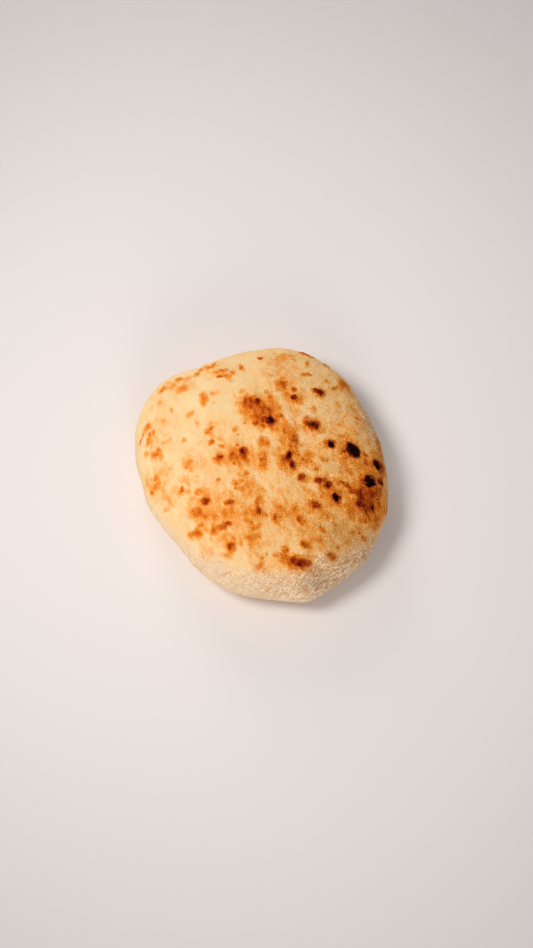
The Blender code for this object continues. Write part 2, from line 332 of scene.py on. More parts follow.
        (224.5, 574, 7, 4.5, 20), (228.5, 572, 7, 5), (305.6, 587, 7, 5, 20), (266.7, 589, 6, 6),
        (298, 574.5, 10, 5, 30), (283, 569, 8, 6), (268.9, 374.4, 12, 6, -15), (327.2, 381.1, 8, 3.5),
        (325.5, 389, 8, 4.5, 15), (237, 427, 8, 5), (208, 539, 10, 8), (249, 486, 12, 8, -30),
        (371, 438, 10, 12, -30), (338.3, 404.4, 9, 8), (340, 411, 6, 5), (344, 421, 9, 6, 20),
        (318.3, 416, 6, 5), (300.6, 426.8, 7, 3.5), (301, 400, 6, 6), (187, 378, 10, 5, 20),
        (188, 491, 8, 6), (184, 440, 6, 5), (279, 356.8, 8, 3.5, -10), (284, 359, 6, 4.5),
        (368.3, 432.2, 7, 5, -40), (312.8, 534, 10, 7), (294, 522, 10, 7, -40), (328, 567, 14, 8, -20),
        (284, 527.3, 15, 7, -35), (324.4, 510, 8, 6), (342.8, 456.7, 7, 6), (337, 424, 26, 3.5, -16),
        (351, 405, 14, 4, -65), (345, 415, 12, 4, 60),
    )},
    "specks": {"depth": 0.76, "soft": 0.6, "wander": 0.5, "places": (
        (237.6, 433.7, 1.8, 1.8), (245, 422.2, 1.8, 1.8), (284, 409, 1.8, 1.8), (235, 487.2, 1.8, 1.8),
        (280.6, 505.6, 1.8, 1.8), (266.7, 552.8, 1.8, 1.8),
    )},
    # broad tones behind the marks: the top is more baked than the left flank
    "baked": {"depth": 0.46, "soft": 0.85, "wander": 4.0, "places": (
        (370, 491, 30, 60, 16), (266, 411, 44, 30, -36), (292.5, 443, 15, 50, 14), (330, 488, 50, 20, -32),
        (372, 514, 18, 34), (298, 564, 42, 16, -10), (350, 453, 36, 28, -40), (357, 510, 24, 22, -20),
        (376, 466, 16, 34, 10), (342, 468, 26, 14, -20), (362, 455, 12, 10), (381, 510, 10, 18, 70),
        (346, 455, 8, 8), (355, 508, 16, 14), (330, 489, 14, 8),
    )},
    "warm": {"depth": 0.34, "soft": 0.85, "wander": 4.0, "places": (
        (203, 511, 26, 28), (230, 503, 18, 12), (218, 525, 40, 14, 20), (200, 533, 20, 9, 24),
        (256, 514, 28, 24), (252, 486, 24, 20, -50), (254, 537, 24, 22), (290, 513, 50, 20, -8),
        (308, 530, 30, 20, -40), (275, 509, 18, 26, 20), (285, 556, 24, 12, -15), (312, 556, 14, 10),
        (345, 476, 12, 9), (324, 545, 14, 12), (240, 541, 12, 9), (345, 437, 12, 9),
        (290, 512, 40, 24, -10), (260, 565, 16, 14), (240, 457, 44, 24), (263, 464, 16, 34),
        (292, 410, 13, 6, -58), (240, 400, 12, 12), (284, 386, 14, 11, -20), (295, 398, 15, 12),
        (312, 463, 16, 10, -20), (309, 494, 16, 9), (222, 372.5, 26, 5, 14), (228, 553, 12, 10),
        (261, 488, 9, 10), (172, 385, 14, 9, 35), (307, 488, 12, 8), (182, 388, 22, 9, 30),
        (345, 388, 22, 9, -45), (153, 439, 9, 18), (156, 455, 13, 10), (188, 462, 12, 15),
        (231, 496, 26, 12), (206, 491, 12, 12), (243, 475, 16, 10, -20), (211, 430, 9, 16, 20),
        (322, 502, 34, 18, -20), (380, 446, 12, 40, 12), (280, 456, 16, 22, 20), (250, 412, 26, 18, -42),
        (228, 537, 20, 12), (210, 367, 16, 8, 25), (284, 357, 24, 9), (352, 437, 12, 10),
        (341, 442, 16, 18), (216, 516, 16, 12), (301, 569, 14, 8), (282, 452, 14, 12),
    )},
    "faint": {"depth": 0.23, "soft": 0.9, "wander": 5.0, "places": (
        (286, 380, 46, 30, -20), (336, 455, 54, 42), (292, 408, 40, 20, -50), (298, 436, 40, 44),
        (240, 512, 90, 64), (345, 530, 56, 60), (240, 454, 56, 34), (300, 516, 60, 50), (200, 463, 16, 18),
        (342, 506, 14, 14), (205, 440, 12, 12), (162, 484, 12, 14), (190, 455, 12, 14), (248, 554, 14, 10),
        (294, 485, 14, 12), (163, 471, 22, 18), (174, 497, 20, 22), (188, 481, 26, 10, -20),
        (152, 486, 14, 26, 20), (360, 420, 18, 36, 22), (286, 364, 40, 14, -12), (344, 432, 34, 20),
        (208, 553, 22, 22), (262, 545, 22, 24), (285, 491, 24, 14, -10), (322, 419, 26, 24),
        (330, 470, 26, 16, -14), (284, 366, 20, 10, -10),
    )},
    "trace": {"depth": 0.13, "soft": 0.9, "wander": 5.0, "places": (
        (162, 418, 30, 60), (225, 435, 50, 40), (222, 482, 70, 40), (265, 500, 70, 110),
        (330, 500, 80, 120), (285, 560, 100, 40), (284, 568, 60, 24), (260, 552, 44, 32),
        (344, 548, 30, 24), (244, 578, 30, 14, 20), (208, 538, 20, 14),
    )},
}

# where flour still clings: below this line, and in pale mealy folds over the top
flour = {
    "line": ((120, 465), (145, 496), (167, 528), (201, 554), (219, 558), (237, 572), (262, 574), (290, 576),
             (313, 563), (324, 556), (339, 560), (355, 552), (366, 547), (378, 534), (400, 505)),
    "fade": 12.0,  # pixels on each side of the line
    "lineNoise": ((7 * mm, 5.0, 5), (2.6 * mm, 3.0, 6)),  # each: size, pixels and seed
    "nearSide": 0.3,  # only skin that faces less far back than this
    "lowest": (6 * mm, 11 * mm),  # the low skin all round is dusted too
    "lowNoise": (9 * mm, 2.5 * mm, 7),
    "lowShare": 0.8,
    "folds": ((257, 474.5, 12, 6, -56), (264.5, 485, 16, 5, -58), (271, 504, 16, 4, -80),
              (287.5, 413.5, 24, 5, -62), (301, 434, 18, 7, -80), (302, 449, 10, 7, -70), (281, 473, 9, 7),
              (343, 408, 8, 7), (309, 387, 8, 6, -30), (314, 486, 9, 6, -20), (335, 418, 8, 8),
              (333, 466, 24, 7, -14), (309, 414, 16, 8, -60), (302, 414, 9, 9), (256, 366, 10, 8),
              (242, 380, 9, 8)),
    "foldsSpare": 0.65,  # how much of the toast is missing in a fold
    "foldsFlour": 0.2,
    # flour on the right rim, which also paints light where the rim turns away from the key lamp
    "dustAndLight": ((367, 418, 10, 50, 22), (374, 544, 18, 44, -32)),
    "dustAndLightShare": 0.6,
    # painted shade: patches low on the right and by the near rim, darkened where the skin turns from the
    # lamps
    "paintedShade": ((345, 540, 46, 44, -40), (318, 582, 40, 16, 12)),
    # raised edges, where the dough was folded in
    "ridges": ((350, 416, 52, 7, -70), (341.5, 472.5, 16, 3.5), (262, 489, 44, 6, -62)),
    "soft": 0.9,  # how soft the edges of all these are
    "wander": 2.0,
    "clinging": 0.9,
    # where loose pale grains lie on the toast too, partly as painted highlights standing in for glints
    "loose": ((352, 480, 84, 110), (370, 495, 36, 60), (266, 409, 20, 16), (292, 452, 30, 50),
              (300, 520, 80, 60), (225, 525, 40, 30)),
    "looseSoft": 0.6,
    "looseShare": 0.16,
}


def nearness(pixels, place, soft):
    # 1 inside a mark, falling to 0 outside it
    x, y, long, short, lean = (*place, 0)[:5]
    turn = math.radians(lean)
    across = pixels[:, 0] - x
    up = y - pixels[:, 1]
    along = (across * math.cos(turn) + up * math.sin(turn)) / (long / 2)
    aside = (up * math.cos(turn) - across * math.sin(turn)) / (short / 2)
    return 1 - smoothStep(1 - soft, 1 + soft, np.hypot(along, aside))


def nearest(pixels, places, soft):
    # the strongest of several marks
    share = np.zeros(len(pixels))
    for place in places:
        share = np.maximum(share, nearness(pixels, place, soft))
    return share


# how the marks and the fine bodies lie on the crust
laying = {
    "overlapPower": 5,  # marks that overlap grow only a little darker
    "wanderSizes": (2.8 * mm, 1.2 * mm),  # the marks' edges wander by two noises
    "wanderFine": 0.7,  # share of the finer one
    "overRim": (-0.40, 0.0),  # what the photograph shows carries on a little over the rim
    "farFacing": -0.08,  # far marks are drawn where the skin faces away by this much
    "restsBelow": 0.01 * mm,
    "bodiesAbove": (1 * mm, 3 * mm),
    "reliefAbove": (0.4 * mm, 3 * mm),
    "pimplesAcross": (-20 * mm, 40 * mm),  # more of them toward the right
    "pimplesFar": 0.5,
    "pimplesBare": 0.2,  # on untoasted skin
}


def shownToast(pixels, wander):
    total = np.zeros(len(pixels))
    for tone in toast.values():
        warped = pixels + tone["wander"] * wander
        for place in tone["places"]:
            total += (tone["depth"] * nearness(warped, place, tone["soft"])) ** laying["overlapPower"]
    return total ** (1 / laying["overlapPower"])


# marks on the far side, which the photograph doesn't show
farMarks = {
    "count": 27,
    "seed": 12,
    "radius": (0.9 * mm, 3.0 * mm),
    "depth": (0.25, 0.95),
    "soft": 0.7,
    "haloWidth": 1.8,  # times the mark's
    "haloFade": (0.1, 1.9),
    "haloDepth": 0.30,
    "broadTone": 0.12,
    "broadSize": 9 * mm,
    "lowest": 7 * mm,
    "wander": 0.5 * mm,
    "wanderSize": 2 * mm,
}


def farToast(points, far):
    draw = random.Random(farMarks["seed"])
    candidates = np.nonzero(far & (points[:, 2] > farMarks["lowest"]))[0]
    soft = farMarks["soft"]
    power = laying["overlapPower"]
    broad = np.clip(1 + noiseArray(points, farMarks["broadSize"], seed=11), 0, 2)
    total = (farMarks["broadTone"] * broad) ** power
    wander = np.stack([noiseArray(points, farMarks["wanderSize"], seed) for seed in (13, 14, 15)], axis=1)
    warped = points + farMarks["wander"] * wander
    for _ in range(farMarks["count"]):
        middle = points[candidates[draw.randrange(len(candidates))]]
        radius = draw.uniform(*farMarks["radius"])
        depth = draw.uniform(*farMarks["depth"])
        apart = np.linalg.norm(warped - middle, axis=1) / radius
        total += (depth * (1 - smoothStep(1 - soft, 1 + soft, apart))) ** power
        halo = 1 - smoothStep(*farMarks["haloFade"], apart / farMarks["haloWidth"])
        total += (farMarks["haloDepth"] * halo) ** power
    return total ** (1 / power)


def markCrust(mesh):
    # writes the marks on the mesh, as attributes that the trees and the material read
    points = vectorArray(mesh.vertices, "co")
    normals = vectorArray(mesh.vertex_normals, "vector")
    pixels = pixelsOf(points) - view["readingShift"]
    size, fineSize = laying["wanderSizes"]
    wander = np.stack([
        noiseArray(points, size, seed) + laying["wanderFine"] * noiseArray(points, fineSize, seed + 1)
        for seed in (1, 3)], axis=1)
    facing = normals @ viewBack
    shown = smoothStep(*laying["overRim"], facing)
    folds, dustAndLight, paintedShade, ridges = (nearest(pixels + flour["wander"] * wander, flour[name], flour["soft"])
                                  for name in ("folds", "dustAndLight", "paintedShade", "ridges"))
    depth = shown * shownToast(pixels, wander) * (1 - flour["foldsSpare"] * folds)
    depth += (1 - shown) * farToast(points, facing < laying["farFacing"])
    line = np.array(flour["line"])
    under = pixels[:, 1] - np.interp(pixels[:, 0], line[:, 0], line[:, 1])
    under += sum(reach * noiseArray(points, size, seed) for size, reach, seed in flour["lineNoise"])
    dusted = smoothStep(-flour["fade"], flour["fade"], under) * (normals[:, 1] < flour["nearSide"])
    size, reach, seed = flour["lowNoise"]
    lowSkin = 1 - smoothStep(*flour["lowest"], points[:, 2] + reach * noiseArray(points, size, seed))
    dusted = np.maximum.reduce([dusted * shown, flour["lowShare"] * lowSkin,
                                flour["dustAndLightShare"] * shown * dustAndLight, flour["foldsFlour"] * shown * folds])
    resting = points[:, 2] < laying["restsBelow"]
    depth[resting] = crust["baseToast"]
    dusted[resting] = crust["baseFlour"]
    browned = np.clip(depth, 0, 1)
    loose = nearest(pixels, flour["loose"], flour["looseSoft"])
    loose *= flour["looseShare"] * shown * (1 - browned ** 3)
    clinging = flour["clinging"] * dusted * (1 - browned)
    lifted = smoothStep(*laying["bodiesAbove"], points[:, 2])
    pimpled = shown * smoothStep(*laying["pimplesAcross"], points[:, 0])
    pimpled += laying["pimplesFar"] * (1 - shown)
    marks = {
        "toast": depth,
        "flour": dusted,
        # painted shade where the skin turns away from the lamps
        "paintedShade": paintedShade * shown,
        "ridge": ridges * shown,
        "grains": lifted * np.maximum(clinging, loose),
        "pimples": lifted * np.clip(laying["pimplesBare"] * pimpled + depth * pimpled, 0, 1),
        "base": resting,
        "free": smoothStep(*laying["reliefAbove"], points[:, 2]),
    }
    for name, values in marks.items():
        attribute = mesh.attributes.new(name, "FLOAT", "POINT")
        attribute.data.foreach_set("value", values.astype(np.float32))


# the floury skin's wrinkles, which the relief raises and the material colours with partly painted highlight
# and shade
wrinkles = {
    "size": 2.4 * mm,
    "stretch": (0.6, 1.3, 1.0),  # they are longer along their lean
    "lean": 35,  # degrees
    "noise": {"Detail": 2.0, "Roughness": 0.5, "Distortion": 0.8},
    "puffs": (4.0, -0.4),  # gain and level
    "onFlour": (0.83, 0.17),
    "upward": (60.0, -0.35),  # they are calmer low on the side
    "calmest": 0.35,
}


def wrinkleNoise(tree, vector):
    # 0 in the creases, and more on the puffs between them
    folded = addNode(tree, "ShaderNodeTexNoise",
                     {"Vector": vector, "Scale": 1 / wrinkles["size"], **wrinkles["noise"]})
    folded = addNode(tree, "ShaderNodeMath", {0: folded, 1: 0.5}, operation="SUBTRACT")
    return addNode(tree, "ShaderNodeMath", {0: folded}, operation="ABSOLUTE")


# fine relief of the skin, which a node tree raises along the normals
relief = {
    "Lump Size": 5.5 * mm,
    "Lump Height": 0.30 * mm,
    "Wrinkle Height": 1.05 * mm,
    "Pimple Size": 1.3 * mm,
    "Pimple Height": 0.10 * mm,
    "Blister Height": 0.30 * mm,
    "Ridge Height": 0.30 * mm,
}
blisterCurve = 1.5


def startTree(name, values):
    # a new tree with a named input for each value, and the outputs that give them
    tree = bpy.data.node_groups.new(name, "GeometryNodeTree")
    for way in ("INPUT", "OUTPUT"):
        tree.interface.new_socket("Geometry", in_out=way, socket_type="NodeSocketGeometry")
    for label in values:
        kind = "NodeSocketInt" if label == "Seed" else "NodeSocketFloat"
        tree.interface.new_socket(label, in_out="INPUT", socket_type=kind)
    return tree, addNode(tree, "NodeGroupInput").node.outputs


def endTree(tree, geometry, material):
    whole = addNode(tree, "GeometryNodeRealizeInstances", {"Geometry": geometry})
    dressed = addNode(tree, "GeometryNodeSetMaterial", {"Geometry": whole, "Material": material})
    addNode(tree, "NodeGroupOutput", {0: dressed})
    return tree


def makeReliefTree(material):
    tree, given = startTree("crustRelief", relief)
    place = addNode(tree, "GeometryNodeInputPosition")
    normal = addNode(tree, "GeometryNodeInputNormal")
    toasted, floury, ridged, free = (
        addNode(tree, "GeometryNodeInputNamedAttribute", {"Name": name}, data_type="FLOAT")
        for name in ("toast", "flour", "ridge", "free"))
    # broad soft lumps, and pimples all over
    lumpScale, pimpleScale = (addNode(tree, "ShaderNodeMath", {0: 1.0, 1: given[name]}, operation="DIVIDE")
                              for name in ("Lump Size", "Pimple Size"))
    lumps = addNode(tree, "ShaderNodeTexNoise", {"Vector": place, "Scale": lumpScale, "Detail": 2.0})
    lumps = addNode(tree, "ShaderNodeMath", {0: lumps, 1: 0.5}, operation="SUBTRACT")
    pimples = addNode(tree, "ShaderNodeTexVoronoi",
                      {"Vector": place, "Scale": pimpleScale, "Smoothness": 0.5}, feature="SMOOTH_F1")
    pimples = addNode(tree, "ShaderNodeMath", {0: 0.5, 1: pimples}, operation="SUBTRACT")
    # the floury skin stands in soft puffs with creases between them
    turn = -math.radians(wrinkles["lean"])
    leaning = addNode(tree, "ShaderNodeVectorRotate", {"Vector": place, "Angle": turn},
                      rotation_type="Z_AXIS")
    leaning = addNode(tree, "ShaderNodeVectorMath", {0: leaning, 1: wrinkles["stretch"]},
                      operation="MULTIPLY")
    above = addNode(tree, "ShaderNodeSeparateXYZ", {0: place}, output="Z")
    puffs, strength, calm = (
        addNode(tree, "ShaderNodeMath", {0: source, 1: wrinkles[name][0], 2: wrinkles[name][1]},
                operation="MULTIPLY_ADD", use_clamp=name == "upward")
        for name, source in (("puffs", wrinkleNoise(tree, leaning)), ("onFlour", floury), ("upward", above)))
    calm = addNode(tree, "ShaderNodeMath", {0: calm, 1: wrinkles["calmest"]}, operation="MAXIMUM")
    for factor in (given["Wrinkle Height"], calm, puffs):
        strength = addNode(tree, "ShaderNodeMath", {0: strength, 1: factor}, operation="MULTIPLY")
    # the toast marks stand up as blisters
    blisters = addNode(tree, "ShaderNodeMath", {0: toasted, 1: 1.0}, operation="MINIMUM")
    blisters = addNode(tree, "ShaderNodeMath", {0: blisters, 1: blisterCurve}, operation="POWER")
    height = strength
    for part, name in ((lumps, "Lump"), (pimples, "Pimple"), (blisters, "Blister"), (ridged, "Ridge")):
        height = addNode(tree, "ShaderNodeMath", {0: part, 1: given[name + " Height"], 2: height},
                         operation="MULTIPLY_ADD")
    height = addNode(tree, "ShaderNodeMath", {0: height, 1: free}, operation="MULTIPLY")
    offset = addNode(tree, "ShaderNodeVectorMath", {0: normal, "Scale": height}, operation="SCALE")
    moved = addNode(tree, "GeometryNodeSetPosition", {"Geometry": given["Geometry"], "Offset": offset})
    return endTree(tree, moved, material)


def runTree(obj, tree, values):
    modifier = obj.modifiers.new(tree.name, "NODES")
    modifier.node_group = tree
    for item in tree.interface.items_tree:
        if item.in_out == "INPUT" and item.name in values:
            modifier[item.identifier] = values[item.name]
    settle(obj)
    obj.data.shade_smooth()


crustLook = {
    "colours": {"skinPale": "#F0CD97", "skinGolden": "#F8BA72", "flouryPale": "#FBDFBE",
                "flouryTan": "#FFDCB6", "paleFlourAndLight": "#FFF0D8", "flourShade": "#B86C3A",
                "rightShadeTint": "#F4FCFF"},
    "toastStops": ((0.0, "#F4BE80"), (0.15, "#F4B068"), (0.30, "#F09843"), (0.45, "#E67C27"),
                   (0.56, "#D5661C"), (0.66, "#BB4B11"), (0.76, "#9D350F"), (0.86, "#7C200A"),
                   (0.93, "#561106"), (1.0, "#160301")),
    "toastRange": 1.12,
    "browning": 4.0,
    "rightShadeTintGain": 2.2,
    # sizes of the skin's noises, from floury grit to broad tones
    "sizes": {"fine": 0.52 * mm, "speckle": 1.1 * mm, "mottle": 2.4 * mm, "patch": 5 * mm, "broad": 11 * mm},
    "noise": {"Detail": 1.5, "Roughness": 0.45},
    # mottles and patches are drawn out along the way the dough was stretched
    "streak": (1.6, 0.8, 1.0),
    "streakLean": -73,
    # blends of the noises: a level, and how much each one adds
    "blends": {
        "uneven": (-2.4, {"speckle": 0.9, "mottle": 2.0, "patch": 1.9}),
        "grainy": (-1.3, {"speckle": 2.0, "mottle": 1.6, "patch": 1.4}),
        "golden": (-0.4, {"across": 9.0, "patch": 0.8, "broad": 0.9}),
    },
    # ramps as gain and level: across the bread, up its side, over wrinkles, on painted shade and on flour
    "toRight": (18.0, 0.45),
    "furrow": (11.0, 0.35),
    # flour low on the side, which also paints light on the low side that turns away from the lamps
    "lowFlourAndLight": (-110.0, 1.9),
    "calm": (110.0, -0.6),
    # pale crests partly painted highlight, brown creases partly painted shade
    "crestHighlight": (12.0, -0.9),
    "creaseShade": (-13.5, 1.05),
    "shadeDimming": (-0.24, 1.0),
    "rough": (0.2, 0.6),
    "lowFlourAndLightShare": 0.6,
    "crestHighlightShare": 0.65,
    "baseSpots": 1.6,
    "breakUntil": 0.45,  # toast breaks up more as it gets stronger, up to this
    "breaking": (0.50, 0.075),
    "breakRight": 0.21,
    "bareToast": -1.4,
    "grit": (1.4, 0.3),  # on toast, on flour
    "richer": (1.2, 0.25),  # on flour, and everywhere
    "bumpSize": 0.7 * mm,
    "bumpGains": (0.4, 0.9, 0.3),  # on grit, on flour, and everywhere
}


def startMaterial(name):
    material = bpy.data.materials.new(name)
    material.use_nodes = True
    material.node_tree.nodes.clear()
    return material, addNode(material.node_tree, "ShaderNodeTexCoord", output="Object")


def makeCrustMaterial(look):
    # toasted bread crust: matt, faintly translucent dough skin that browned where the heat touched it
    material, place = startMaterial("toastedCrust")
    tree = material.node_tree
    toasted, floury, base, paintedShade = (addNode(tree, "ShaderNodeAttribute", output="Fac", attribute_name=name)
                                   for name in ("toast", "flour", "base", "paintedShade"))
    across, above = (addNode(tree, "ShaderNodeSeparateXYZ", {0: place}, output=axis) for axis in "XZ")
    stretched, leaning = (
        addNode(tree, "ShaderNodeMapping", {"Vector": place, "Scale": scale,
                                            "Rotation": (0, 0, math.radians(lean))}, vector_type="TEXTURE")
        for scale, lean in ((look["streak"], look["streakLean"]),
                            ([1 / stretch for stretch in wrinkles["stretch"]], wrinkles["lean"])))
    sources = {"across": across}
    for name, size in look["sizes"].items():
        vector = stretched if name in ("mottle", "patch") else place
        sources[name] = addNode(tree, "ShaderNodeTexNoise",
                                {"Vector": vector, "Scale": 1 / size, **look["noise"]})
    blends = {}
    for name, (level, shares) in look["blends"].items():
        for source, share in shares.items():
            level = addNode(tree, "ShaderNodeMath", {0: sources[source], 1: share, 2: level},
                            operation="MULTIPLY_ADD")
        blends[name] = level
    golden, grainy = (addNode(tree, "ShaderNodeClamp", {0: blends[name]}) for name in ("golden", "grainy"))
    wrinkled = wrinkleNoise(tree, leaning)  # as the relief raises them
    ramps = {"toRight": across, "furrow": across, "lowFlourAndLight": above, "calm": above, "crestHighlight": wrinkled,
             "creaseShade": wrinkled, "shadeDimming": paintedShade, "rough": floury}
    toRight, furrow, lowFlourAndLight, calm, crestHighlight, creaseShade, shadeDimming, rough = (
        addNode(tree, "ShaderNodeMath", {0: source, 1: look[name][0], 2: look[name][1]},
                operation="MULTIPLY_ADD", use_clamp=True)
        for name, source in ramps.items())
    # the flat base browned in spots where it lay on the oven floor
    spots = addNode(tree, "ShaderNodeMath", {0: sources["broad"], 1: 0.5}, operation="SUBTRACT")
    spots = addNode(tree, "ShaderNodeMath", {0: spots, 1: base}, operation="MULTIPLY")
    toasted = addNode(tree, "ShaderNodeMath", {0: spots, 1: look["baseSpots"], 2: toasted},
                      operation="MULTIPLY_ADD")
    # the toast breaks up into mottles and speckles, more so where it is strong and toward the right
    gain = addNode(tree, "ShaderNodeMath", {0: toasted, 1: look["breakUntil"]}, operation="MINIMUM")
    gain = addNode(tree, "ShaderNodeMath", {0: gain, 1: look["breaking"][0], 2: look["breaking"][1]},
                   operation="MULTIPLY_ADD")
    least = addNode(tree, "ShaderNodeMath", {0: toRight, 1: look["breakRight"]}, operation="MULTIPLY")
    gain = addNode(tree, "ShaderNodeMath", {0: gain, 1: least}, operation="MAXIMUM")
    broken = addNode(tree, "ShaderNodeMath", {0: blends["uneven"], 1: gain, 2: toasted},
                     operation="MULTIPLY_ADD")
    tone = addNode(tree, "ShaderNodeMath", {0: broken, 1: look["toastRange"]}, operation="DIVIDE",
                   use_clamp=True)
    ramp = addNode(tree, "ShaderNodeValToRGB", {"Fac": tone})
    elements = ramp.node.color_ramp.elements
    while len(elements) < len(look["toastStops"]):
        elements.new(0.5)
    for element, (position, code) in zip(elements, look["toastStops"]):
        element.position = position
        element.color = linearColour(code)
    # bare skin and powder: paler on the left, more golden on the right
    colours = {name: linearColour(code) for name, code in look["colours"].items()}
    skin, powder = (
        addNode(tree, "ShaderNodeMix", {"Factor": golden, 6: colours[pale], 7: colours[deep]}, output=2,
                data_type="RGBA")
        for pale, deep in (("skinPale", "skinGolden"), ("flouryPale", "flouryTan")))
    browning, rightShadeTint = (
        addNode(tree, "ShaderNodeMath", {0: source, 1: gain}, operation="MULTIPLY", use_clamp=True)
        for source, gain in ((broken, look["browning"]), (tone, look["rightShadeTintGain"])))
    colour = addNode(tree, "ShaderNodeMix", {"Factor": browning, 6: skin, 7: ramp}, output=2,
                     data_type="RGBA")
    # toward the right the toast is a little less red: partly its own hue, partly a painted shade tint
    rightShadeTint = addNode(tree, "ShaderNodeMath", {0: rightShadeTint, 1: toRight}, operation="MULTIPLY")
    colour = addNode(tree, "ShaderNodeMix", {"Factor": rightShadeTint, 6: colour, 7: colours["rightShadeTint"]}, output=2,
                     data_type="RGBA", blend_type="MULTIPLY")
    # little flour clings where the toast is strong
    bare = addNode(tree, "ShaderNodeMath", {0: toasted, 1: look["bareToast"], 2: 1.0},
                   operation="MULTIPLY_ADD", use_clamp=True)
    clinging = addNode(tree, "ShaderNodeMath", {0: floury, 1: bare}, operation="MULTIPLY")
    # over the toast: grains of powder, thick low flour, pale crests, brown creases: partly painted light and
    # shade
    pale = colours["paleFlourAndLight"]
    for (share, *factors), layer in (((clinging, grainy), powder),
                                     ((lowFlourAndLight, clinging, look["lowFlourAndLightShare"]), pale),
                                     ((crestHighlight, furrow, calm, clinging, look["crestHighlightShare"]), pale),
                                     ((creaseShade, floury, furrow, calm), colours["flourShade"])):
        for factor in factors:
            share = addNode(tree, "ShaderNodeMath", {0: share, 1: factor}, operation="MULTIPLY")
        colour = addNode(tree, "ShaderNodeMix", {"Factor": share, 6: colour, 7: layer}, output=2,
                         data_type="RGBA")
    # gritty shade, stronger on toast, on flour and toward the right: its dark specks are browner
    grit = toRight
    for source, share in zip((broken, floury), look["grit"]):
        grit = addNode(tree, "ShaderNodeMath", {0: source, 1: share, 2: grit}, operation="MULTIPLY_ADD")
    shade = addNode(tree, "ShaderNodeMath", {0: sources["fine"], 1: 0.5}, operation="SUBTRACT")
    shade = addNode(tree, "ShaderNodeMath", {0: shade, 1: grit, 2: 1.0}, operation="MULTIPLY_ADD")
    darker = addNode(tree, "ShaderNodeMath", {0: 1.0, 1: shade}, operation="SUBTRACT")
    richer = addNode(tree, "ShaderNodeMath", {0: floury, 1: look["richer"][0], 2: look["richer"][1]},
                     operation="MULTIPLY_ADD")
    richer = addNode(tree, "ShaderNodeMath", {0: darker, 1: richer, 2: 1.0}, operation="MULTIPLY_ADD")
    richer = addNode(tree, "ShaderNodeMath", {0: richer, 1: 1.0}, operation="MAXIMUM")
    colour = addNode(tree, "ShaderNodeHueSaturation",
                     {"Color": colour, "Value": shade, "Saturation": richer})
    # painted shade: the colour is darkened on the shade patches
    colour = addNode(tree, "ShaderNodeHueSaturation", {"Color": colour, "Value": shadeDimming})
    # fine bumps of the skin, higher on grit and on flour
    bumps = addNode(tree, "ShaderNodeTexNoise",
                    {"Vector": place, "Scale": 1 / look["bumpSize"], "Detail": 3.0, "Roughness": 0.7})
    *gains, rise = look["bumpGains"]
    for source, gain in zip((grit, floury), gains):
        rise = addNode(tree, "ShaderNodeMath", {0: source, 1: gain, 2: rise}, operation="MULTIPLY_ADD")
    bumps = addNode(tree, "ShaderNodeMath", {0: bumps, 1: rise}, operation="MULTIPLY")
    bump = addNode(tree, "ShaderNodeBump", {"Strength": 0.9, "Distance": 0.6 * mm, "Height": bumps})
    shader = addNode(tree, "ShaderNodeBsdfPrincipled", {
        "Base Color": colour, "Roughness": rough, "Normal": bump, "Specular IOR Level": 0.03,
        "Subsurface Weight": 0.06, "Subsurface Radius": (1.0, 0.45, 0.2), "Subsurface Scale": 1.2 * mm})
    addNode(tree, "ShaderNodeOutputMaterial", {0: shader})
    return material


def makeCrust():
    obj = addObject("mollete_crust", castCrust(breadSurface(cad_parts["mollete"])))
    heights = vectorArray(obj.data.vertices, "co")[:, 2]
    soft = obj.vertex_groups.new(name="soft")
    soft.add([int(i) for i in np.nonzero(heights > crust["restsBelow"])[0]], 1.0, "REPLACE")
    smoothing = obj.modifiers.new("smoothing", "SMOOTH")
    smoothing.iterations = crust["smoothing"]
    smoothing.vertex_group = "soft"
    settle(obj)
    markCrust(obj.data)
    material = makeCrustMaterial(crustLook)
    runTree(obj, makeReliefTree(material), relief)
    for face in obj.data.polygons:
        if len(face.vertices) > 4:
            face.use_smooth = False  # the flat base
    obj.vertex_groups.clear()
    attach(obj, "root")
    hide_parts("mollete")
    return obj


crustPiece = makeCrust()
print("crust made:", len(crustPiece.data.polygons), "faces")


# how uneven the scattered bodies are
bodies = {"narrowest": (0.7, 0.7, 0.7), "widest": (1.2, 1.2, 1.2), "fullTurn": (6.28, 6.28, 6.28)}


def makeScatterTree(name, values, attribute, alongSkin, material):
    # small bodies set on the skin as thickly as the attribute says
    tree, given = startTree(name, values)
    seed = given["Seed"]
    share = addNode(tree, "GeometryNodeInputNamedAttribute", {"Name": attribute}, data_type="FLOAT")
    density = addNode(tree, "ShaderNodeMath", {0: share, 1: given["Number per Area"]}, operation="MULTIPLY")
    spread = addNode(tree, "GeometryNodeDistributePointsOnFaces",
                     {"Mesh": given["Geometry"], "Density": density, "Seed": seed}).node.outputs
    radius = addNode(tree, "FunctionNodeRandomValue",
                     {2: given["Smallest"], 3: given["Largest"], "Seed": seed}, output=1)
    uneven, anyWay = (
        addNode(tree, "FunctionNodeRandomValue", {0: low, 1: high, "Seed": seed}, data_type="FLOAT_VECTOR")
        for low, high in ((bodies["narrowest"], bodies["widest"]), ((0, 0, 0), bodies["fullTurn"])))
    size = addNode(tree, "ShaderNodeVectorMath", {0: uneven, "Scale": radius}, operation="SCALE")
    flat = addNode(tree, "ShaderNodeCombineXYZ", {0: 1.0, 1: 1.0, 2: given["Flatness"]})
    size = addNode(tree, "ShaderNodeVectorMath", {0: size, 1: flat}, operation="MULTIPLY")
    body = addNode(tree, "GeometryNodeMeshIcoSphere", {"Radius": 1.0, "Subdivisions": 1})
    placed = addNode(tree, "GeometryNodeInstanceOnPoints",
                     {"Points": spread["Points"], "Instance": body, "Scale": size,
                      "Rotation": spread["Rotation"] if alongSkin else anyWay})
    return endTree(tree, placed, material)


